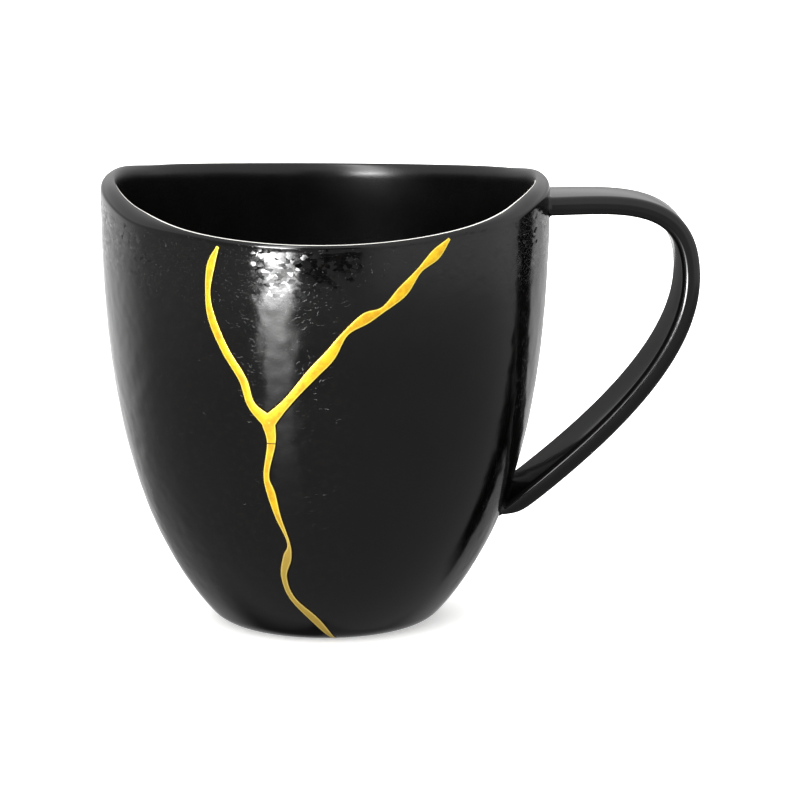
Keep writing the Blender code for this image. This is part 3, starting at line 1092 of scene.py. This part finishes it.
@dataclass(frozen=True)
class FiredGold:
    """Bright gold laid in a crack and fired: a soft metal sheen, richer yellow where it lies thick.

    Attributes:
        inset: Name of the attribute that says how far inside the gold's edge a point lies.
        rim_highlight_gold, deep_gold: A paler gold along its rim, a painted highlight, and where it lies
            thick.
        shaded_low_gold, shaded_low_rim: The same, darker and olive low on the wall, as painted shade
        where the wall faces down.
        shade_heights, low_share: Where that painted shade starts and is full, and how much of it there is.
        edge: The dark line outside the gold.
        patch_edges: How far up their noise the thick patches start and end.
        rim_fade: Where the painted rim highlight has passed into the middle, in rim widths.
        hairline: Height of a hairline crack across the gold.
    """

    inset: str
    gold: str = "#eac01b"
    rim_highlight_gold: str = "#f6e160"
    deep_gold: str = "#d8a01a"
    shaded_low_gold: str = "#b89a45"
    shaded_low_rim: str = "#d5be6c"
    shade_heights: tuple[float, float] = (28.0 * MM, 19.0 * MM)
    low_share: float = 0.9
    edge: str = "#27180b"
    metallic: float = 0.35
    roughness: float = 0.42
    specular: float = 0.5
    patch_size: float = 1.6 * MM
    patch_edges: tuple[float, float] = (0.42, 0.62)
    patch_depth: float = 0.03 * MM
    rim_width: float = 0.20 * MM
    rim_fade: float = 1.5
    edge_softness: float = 0.03 * MM
    hairline: float = 40.0 * MM
    hairline_width: float = 0.12 * MM

    def make(self) -> bpy.types.Material:
        """Builds the gold."""
        material, tree, shader = new_material("fired_gold")
        place = add_node(tree, "ShaderNodeTexCoord").outputs["Object"]
        inset = add_node(tree, "ShaderNodeAttribute", attribute_name=self.inset).outputs["Fac"]
        patches = add_node(tree, "ShaderNodeTexNoise", {"Vector": place, "Scale": 1 / self.patch_size,
                                                        "Detail": 3.0, "Roughness": 0.6})
        thick = add_node(tree, "ShaderNodeMapRange",
                         {"Value": patches.outputs["Fac"], "From Min": self.patch_edges[0],
                          "From Max": self.patch_edges[1]})
        middle = add_node(tree, "ShaderNodeMapRange", {"Value": inset, "From Min": self.rim_width / 2,
                                                       "From Max": self.rim_width * self.rim_fade})
        gilt = add_node(tree, "ShaderNodeMapRange", {"Value": inset, "From Min": -self.edge_softness,
                                                     "From Max": self.edge_softness})
        height = add_node(tree, "ShaderNodeSeparateXYZ", {0: place}).outputs[2]
        # Painted shade: the gold darkens to olive towards the foot, where the wall faces down.
        low = add_node(tree, "ShaderNodeMapRange",
                       {"Value": height, "From Min": self.shade_heights[0],
                        "From Max": self.shade_heights[1], "To Max": self.low_share})
        body = add_node(tree, "ShaderNodeMix", {"Factor": thick.outputs[0], 6: linear(self.gold),
                                                7: linear(self.deep_gold)}, data_type="RGBA")
        shaded_body = add_node(tree, "ShaderNodeMix", {"Factor": low.outputs[0], 6: body.outputs[2],
                                                    7: linear(self.shaded_low_gold)}, data_type="RGBA")
        # Painted highlight: a paler gold along the gold's rim, itself darker low on the wall as painted
        # shade.
        rim = add_node(tree, "ShaderNodeMix", {"Factor": low.outputs[0], 6: linear(self.rim_highlight_gold),
                                               7: linear(self.shaded_low_rim)}, data_type="RGBA")
        rimmed = add_node(tree, "ShaderNodeMix", {"Factor": middle.outputs[0], 6: rim.outputs[2],
                                                  7: shaded_body.outputs[2]}, data_type="RGBA")
        off_hairline = add_node(tree, "ShaderNodeMath", {0: height, 1: self.hairline},
                                operation="SUBTRACT").outputs[0]
        off_hairline = add_node(tree, "ShaderNodeMath", {0: off_hairline}, operation="ABSOLUTE").outputs[0]
        whole = add_node(tree, "ShaderNodeMapRange",
                         {"Value": off_hairline, "From Min": self.hairline_width / 2,
                          "From Max": self.hairline_width})
        gold = add_node(tree, "ShaderNodeMath", {0: gilt.outputs[0], 1: whole.outputs[0]},
                        operation="MULTIPLY")
        lined = add_node(tree, "ShaderNodeMix", {"Factor": gold.outputs[0], 6: linear(self.edge),
                                                 7: rimmed.outputs[2]}, data_type="RGBA")
        metal = add_node(tree, "ShaderNodeMath", {0: gilt.outputs[0], 1: self.metallic}, operation="MULTIPLY")
        tree.links.new(lined.outputs[2], shader.inputs["Base Color"])
        shine = add_node(tree, "ShaderNodeMath", {0: gilt.outputs[0], 1: self.specular}, operation="MULTIPLY")
        tree.links.new(metal.outputs[0], shader.inputs["Metallic"])
        tree.links.new(shine.outputs[0], shader.inputs["Specular IOR Level"])
        shader.inputs["Roughness"].default_value = self.roughness
        bump = add_node(tree, "ShaderNodeBump",
                        {"Height": patches.outputs["Fac"], "Distance": self.patch_depth})
        tree.links.new(bump.outputs["Normal"], shader.inputs["Normal"])
        return material


@dataclass(frozen=True)
class StudioPaper:
    """Matte white paper on a light table, so that the cup's shadow stays faint."""

    colour: str = "#f6f6f5"
    backlight: float = 0.45
    roughness: float = 0.9
    specular: float = 0.1

    def make(self) -> bpy.types.Material:
        """Builds the paper."""
        material, tree, shader = new_material("studio_paper")
        shader.inputs["Base Color"].default_value = linear(self.colour)
        shader.inputs["Roughness"].default_value = self.roughness
        shader.inputs["Specular IOR Level"].default_value = self.specular
        shader.inputs["Emission Color"].default_value = linear(self.colour)
        shader.inputs["Emission Strength"].default_value = self.backlight
        return material


@dataclass(frozen=True)
class CardVelvet:
    """Velvet on a card, which has no shine of its own."""

    name: str
    colour: str

    def make(self) -> bpy.types.Material:
        """Builds the velvet."""
        material, _, shader = new_material(f"{self.name}_velvet")
        shader.inputs["Base Color"].default_value = linear(self.colour)
        shader.inputs["Roughness"].default_value = 1.0
        shader.inputs["Specular IOR Level"].default_value = 0.0
        return material


# ------------------------------------------------------------------------------------------------
# Studio: floor, light and camera
# ------------------------------------------------------------------------------------------------


@dataclass(frozen=True)
class Card:
    """A dark card: how far off the body it hangs (behind when above zero), its sides, foot and top."""

    name: str
    off: float
    left: float
    right: float
    foot: float
    top: float
    colour: str


@dataclass
class Studio:
    """A white studio: pale paper, a bright surround behind, a tall softbox at the front left.

    Angles are in degrees. An azimuth is measured from the front (-Y) towards the handle (+X), and a
    height from level. A pair of angles is where something starts and where it is full, except gap's.

    Attributes:
        wall: The cup's wall, which the studio is set up round.
        camera_turn: How far the camera and the cards are turned round the cup.
        room, room_more, room_rise: The room's light low down, and what comes on top over the rise.
        band, band_middle, band_half_height, band_flat: A brighter band low in the surround behind.
        sky: The light that the surround behind has all over.
        upper, upper_start, upper_full: The light from above, and the heights that it starts over.
        right_from, right_until: Where the light from above reaches lower down, on the right.
        right_upper_start, right_upper_full: The heights that it starts over there.
        sharp: Half the width of an edge that looks sharp.
        lamp_core, lamp_body, glow: Light of the softbox low down, of the rest, and below its foot.
        glow_fall: How fast the glow falls off below the foot.
        back_right, back_left, back_right_share: Where the surround behind starts on either side.
        underside, shadow: How far down the surround behind is shaded, and how much.
        gap, gap_foot, gap_top, gap_shade: The sides, foot, top and darkness of a dark gap in the
            surround, behind on the right.
    """

    wall: Wall
    floor_size: float = 4.0
    camera_turn: float = -2.7
    camera_distance: float = 1.4
    camera_height: float = 0.355
    aim_right: float = 13.3 * MM
    aim_height: float = 39.7 * MM
    focal_length: float = 361.0
    camera_near: float = 0.05
    room: float = 0.39
    room_more: float = 0.14
    room_rise: tuple[float, float] = (-25.0, -13.0)
    band: float = 0.85
    band_middle: float = -12.5
    band_half_height: float = 13.0
    band_flat: float = 1.5
    sky: float = 0.10
    upper: float = 0.55
    upper_start: float = -2.0
    upper_full: float = 10.0
    right_from: tuple[float, float] = (12.0, 34.0)
    right_until: tuple[float, float] = (125.0, 100.0)
    right_upper_start: float = -17.0
    right_upper_full: float = -11.0
    sharp: float = 1.0
    lamp_left: float = -36.0
    lamp_right: float = -20.0
    lamp_soft: float = 4.5
    lamp_foot: float = -12.3
    foot_soft: float = 0.5
    lamp_core_top: float = 5.0
    lamp_core_soft: float = 4.0
    lamp_top: float = 72.0
    lamp_top_soft: float = 6.0
    lamp_core: float = 50.0
    lamp_body: float = 12.0
    glow: float = 28.0
    glow_fall: float = 5.3
    front_card: Card = Card("front_card", off=-110.0 * MM, left=-25.0 * MM, right=42.0 * MM,
                            foot=46.0 * MM, top=120.0 * MM, colour="#050505")
    back_card: Card = Card("back_card", off=55.0 * MM, left=-32.0 * MM, right=50.0 * MM,
                           foot=0.0, top=74.0 * MM, colour="#666666")
    fill_place: tuple[float, float, float] = (0.0, 0.1, 2.2)
    fill_size: float = 3.0
    fill_power: float = 110.0
    back_right: tuple[float, float] = (131.0, 136.0)
    back_right_share: float = 0.50
    back_left: tuple[float, float] = (-104.0, -142.0)
    underside: tuple[float, float] = (-38.0, -58.0)
    shadow: float = 0.85
    gap: tuple[float, float] = (118.0, 134.0)
    gap_foot: float = -34.0
    gap_foot_soft: float = 10.0
    gap_top: float = -8.0
    gap_top_soft: float = 6.0
    gap_shade: float = 1.0

    def turn(self) -> Matrix:
        """The studio's turn round the cup, so that it faces the camera."""
        return Matrix.Rotation(math.radians(self.camera_turn), 3, "Z")

    def lay_floor(self) -> bpy.types.Object:
        """Lays the paper; shiny things show the studio's surround in it and not the paper."""
        Bench.clear()
        bpy.ops.mesh.primitive_plane_add(size=self.floor_size)
        floor = bpy.context.object
        floor.name = "studio_floor"
        floor.data.materials.append(StudioPaper().make())
        floor.visible_glossy = False
        floor.visible_diffuse = False
        return floor

    def hang(self, card: Card) -> bpy.types.Object:
        """Hangs a small dark card near the cup, which only shiny things show."""
        off = card.off + math.copysign(self.wall.radius, card.off)
        place = Vector((self.wall.axis_x, 0, (card.foot + card.top) / 2))
        place += self.turn() @ Vector(((card.left + card.right) / 2, off, 0))
        Bench.clear()
        bpy.ops.mesh.primitive_plane_add(size=1.0, location=place,
                                         rotation=(math.pi / 2, 0, math.radians(self.camera_turn)))
        hung = bpy.context.object
        hung.name = card.name
        hung.scale = (card.right - card.left, card.top - card.foot, 1.0)
        bpy.ops.object.transform_apply(location=True, rotation=True, scale=True)
        hung.data.materials.append(CardVelvet(card.name, card.colour).make())
        hung.visible_camera = hung.visible_diffuse = hung.visible_shadow = False
        return hung

    def set_camera(self) -> None:
        """Stands the camera in front of the cup, a little to the left and above."""
        axis = Vector((self.wall.axis_x, 0, 0))
        stand = axis + self.turn() @ Vector((self.aim_right, -self.camera_distance, self.camera_height))
        aim = axis + self.turn() @ Vector((self.aim_right, 0, self.aim_height))
        data = bpy.data.cameras.new("studio_camera")
        data.lens = self.focal_length
        data.clip_start = self.camera_near
        camera = bpy.data.objects.new("studio_camera", data)
        camera.location = stand
        camera.rotation_euler = (aim - stand).to_track_quat("-Z", "Y").to_euler()
        bpy.context.scene.collection.objects.link(camera)
        bpy.context.scene.camera = camera

    def directions(self, tree: bpy.types.NodeTree) -> dict[str, bpy.types.NodeSocket]:
        """What the surround is a function of: azimuth, height, and how far off the bright band."""
        direction = add_node(tree, "ShaderNodeTexCoord").outputs["Generated"]
        parts = add_node(tree, "ShaderNodeSeparateXYZ", {0: direction}).outputs
        to_front = add_node(tree, "ShaderNodeMath", {0: parts[1], 1: -1.0}, operation="MULTIPLY").outputs[0]
        azimuth = add_node(tree, "ShaderNodeMath", {0: parts[0], 1: to_front}, operation="ARCTAN2").outputs[0]
        height = add_node(tree, "ShaderNodeMath", {0: parts[2]}, operation="ARCSINE").outputs[0]
        off_band = add_node(tree, "ShaderNodeMath", {0: height, 1: math.radians(self.band_middle)},
                            operation="SUBTRACT").outputs[0]
        off_band = add_node(tree, "ShaderNodeMath", {0: off_band}, operation="ABSOLUTE").outputs[0]
        return {"azimuth": azimuth, "height": height, "off_band": off_band}

    def edges(self) -> tuple[tuple[str, str, float, float], ...]:
        """Every soft edge in the surround: its name, what it runs over, where it is 0, and where 1."""
        return (
            ("from_lamp_left", "azimuth", self.lamp_left - self.sharp, self.lamp_left + self.sharp),
            ("to_lamp_right", "azimuth", self.lamp_right + self.lamp_soft, self.lamp_right - self.lamp_soft),
            ("under_lamp_top", "height", self.lamp_top + self.lamp_top_soft, self.lamp_top),
            ("in_core", "height", self.lamp_core_top + self.lamp_core_soft, self.lamp_core_top),
            ("over_foot", "height", self.lamp_foot - self.foot_soft, self.lamp_foot + self.foot_soft),
            ("under_foot", "height", self.lamp_foot + self.foot_soft, self.lamp_foot - self.foot_soft),
            ("back_right", "azimuth", *self.back_right),
            ("back_left", "azimuth", *self.back_left),
            ("on_band", "off_band", self.band_half_height, self.band_flat),
            ("right_from", "azimuth", *self.right_from),
            ("right_until", "azimuth", *self.right_until),
            ("right_upper", "height", self.right_upper_start, self.right_upper_full),
            ("upper", "height", self.upper_start, self.upper_full),
            ("room_rise", "height", *self.room_rise),
            ("underside", "height", *self.underside),
            ("from_gap", "azimuth", self.gap[0] - self.sharp, self.gap[0] + self.sharp),
            ("to_gap", "azimuth", self.gap[1] + self.sharp, self.gap[1] - self.sharp),
            ("over_gap_foot", "height", self.gap_foot - self.gap_foot_soft, self.gap_foot),
            ("under_gap_top", "height", self.gap_top + self.gap_top_soft, self.gap_top),
        )

    def steps(self) -> tuple[tuple[str, str, tuple[str | float, ...]], ...]:
        """The surround's brightness, step by step: the result's name, what is done, and with what."""
        return (
            ("strip", "MULTIPLY", ("from_lamp_left", "to_lamp_right")),
            ("core", "MULTIPLY", ("in_core", self.lamp_core)),
            ("box", "ADD", ("core", self.lamp_body)),
            ("lit", "MULTIPLY", ("over_foot", "box")),
            ("off_foot", "SUBTRACT", ("height", math.radians(self.lamp_foot))),
            ("below", "MINIMUM", ("off_foot", 0.0)),
            ("falls", "DIVIDE", ("below", math.radians(self.glow_fall))),
            ("fall", "POWER", (math.e, "falls")),
            ("glow", "MULTIPLY", ("under_foot", self.glow)),
            ("lamp", "MULTIPLY_ADD", ("fall", "glow", "lit")),
            ("lamp", "MULTIPLY", ("under_lamp_top", "lamp")),
            ("lamp", "MULTIPLY", ("strip", "lamp")),
            ("right_back", "MULTIPLY", ("back_right", self.back_right_share)),
            ("round_back", "MAXIMUM", ("right_back", "back_left")),
            ("band", "MULTIPLY", ("on_band", self.band)),
            ("band", "ADD", ("band", self.sky)),
            ("back", "MULTIPLY", ("round_back", "band")),
            ("on_right", "MULTIPLY", ("right_from", "right_until")),
            ("right_upper", "MULTIPLY", ("on_right", "right_upper")),
            ("above", "MAXIMUM", ("upper", "right_upper")),
            ("room", "MULTIPLY_ADD", ("room_rise", self.room_more, self.room)),
            ("front", "MULTIPLY_ADD", ("above", self.upper, "room")),
            ("surround", "ADD", ("back", "front")),
            ("shadow", "MULTIPLY", ("round_back", "underside")),
            ("unshaded", "MULTIPLY_ADD", ("shadow", -self.shadow, 1.0)),
            ("surround", "MULTIPLY", ("surround", "unshaded")),
            ("gap", "MULTIPLY", ("from_gap", "to_gap")),
            ("gap", "MULTIPLY", ("gap", "over_gap_foot")),
            ("gap", "MULTIPLY", ("gap", "under_gap_top")),
            ("beside_gap", "MULTIPLY_ADD", ("gap", -self.gap_shade, 1.0)),
            ("surround", "MULTIPLY", ("surround", "beside_gap")),
            ("total", "ADD", ("surround", "lamp")),
        )

    def light(self) -> None:
        """Fills the world with the studio's surround, as a function of direction only."""
        world = bpy.data.worlds.new("studio_surround")
        bpy.context.scene.world = world
        world.use_nodes = True
        tree = world.node_tree
        tree.nodes.clear()
        known = self.directions(tree)
        for name, over, start, end in self.edges():
            known[name] = add_node(tree, "ShaderNodeMapRange",
                                   {"Value": known[over], "From Min": math.radians(start),
                                    "From Max": math.radians(end)},
                                   interpolation_type="SMOOTHSTEP").outputs[0]
        for name, operation, values in self.steps():
            inputs = {i: known.get(value, value) for i, value in enumerate(values)}
            known[name] = add_node(tree, "ShaderNodeMath", inputs, operation=operation).outputs[0]
        seen = add_node(tree, "ShaderNodeLightPath").outputs["Is Camera Ray"]
        strength = add_node(tree, "ShaderNodeMix", {0: seen, 2: known["total"], 3: 1.0}).outputs[0]
        background = add_node(tree, "ShaderNodeBackground", {"Strength": strength})
        add_node(tree, "ShaderNodeOutputWorld", {"Surface": background.outputs[0]})

    def hang_fill(self) -> None:
        """Hangs a wide softbox overhead for the floor, which shiny things don't show."""
        data = bpy.data.lights.new("floor_fill", "AREA")
        data.size = self.fill_size
        data.energy = self.fill_power
        lamp = bpy.data.objects.new("floor_fill", data)
        place = Vector(self.fill_place)
        lamp.location = place
        lamp.rotation_euler = (Vector((0, 0, self.wall.rim / 2)) - place).to_track_quat("-Z", "Y").to_euler()
        lamp.visible_glossy = lamp.visible_camera = False
        bpy.context.scene.collection.objects.link(lamp)

    def build(self) -> list[bpy.types.Object]:
        """Sets up the whole studio and returns its floor and its cards."""
        self.set_camera()
        self.light()
        self.hang_fill()
        bpy.context.scene.view_settings.view_transform = "Standard"
        return [self.lay_floor(), self.hang(self.front_card), self.hang(self.back_card)]


# ------------------------------------------------------------------------------------------------
# The cup
# ------------------------------------------------------------------------------------------------


def main() -> None:
    """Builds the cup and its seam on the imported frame, and the studio round them."""
    logging.basicConfig(level=logging.INFO, format="%(name)s: %(message)s")
    low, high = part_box("cup")
    radius = (high[1] - low[1]) / 2
    wall = Wall(axis_x=low[0] + radius, radius=radius, rim=high[2] - RIM_CLEARANCE)

    handle = StrapHandle(wall)
    joints = handle.joints()
    relief = GlazeRelief(wall)
    cup = TurnedBody(wall).build()
    relief.roughen(cup, joints)
    strap = handle.build()
    Bench.apply(cup, "BOOLEAN", operation="UNION", solver="EXACT", object=strap)
    Bench.drop(strap)
    relief.mark(cup, joints)
    Bench.take(cup)
    bpy.ops.object.shade_smooth_by_angle(angle=CRISP_EDGE)
    cup.data.materials.clear()
    cup.data.materials.append(BlackSatinGlaze(relief.mask, relief.satin, relief.crest).make())
    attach(cup, BODY)
    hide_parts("cup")
    LOG.info("cup_porcelain: %d faces", len(cup.data.polygons))

    crack = CrackSeam(wall)
    seam = crack.build()
    seam.data.materials.clear()
    seam.data.materials.append(FiredGold(crack.inset).make())
    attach(seam, BODY)
    LOG.info("gold_seam: %d faces", len(seam.data.polygons))

    for staging in Studio(wall).build():
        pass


if __name__ == "__main__":
    main()
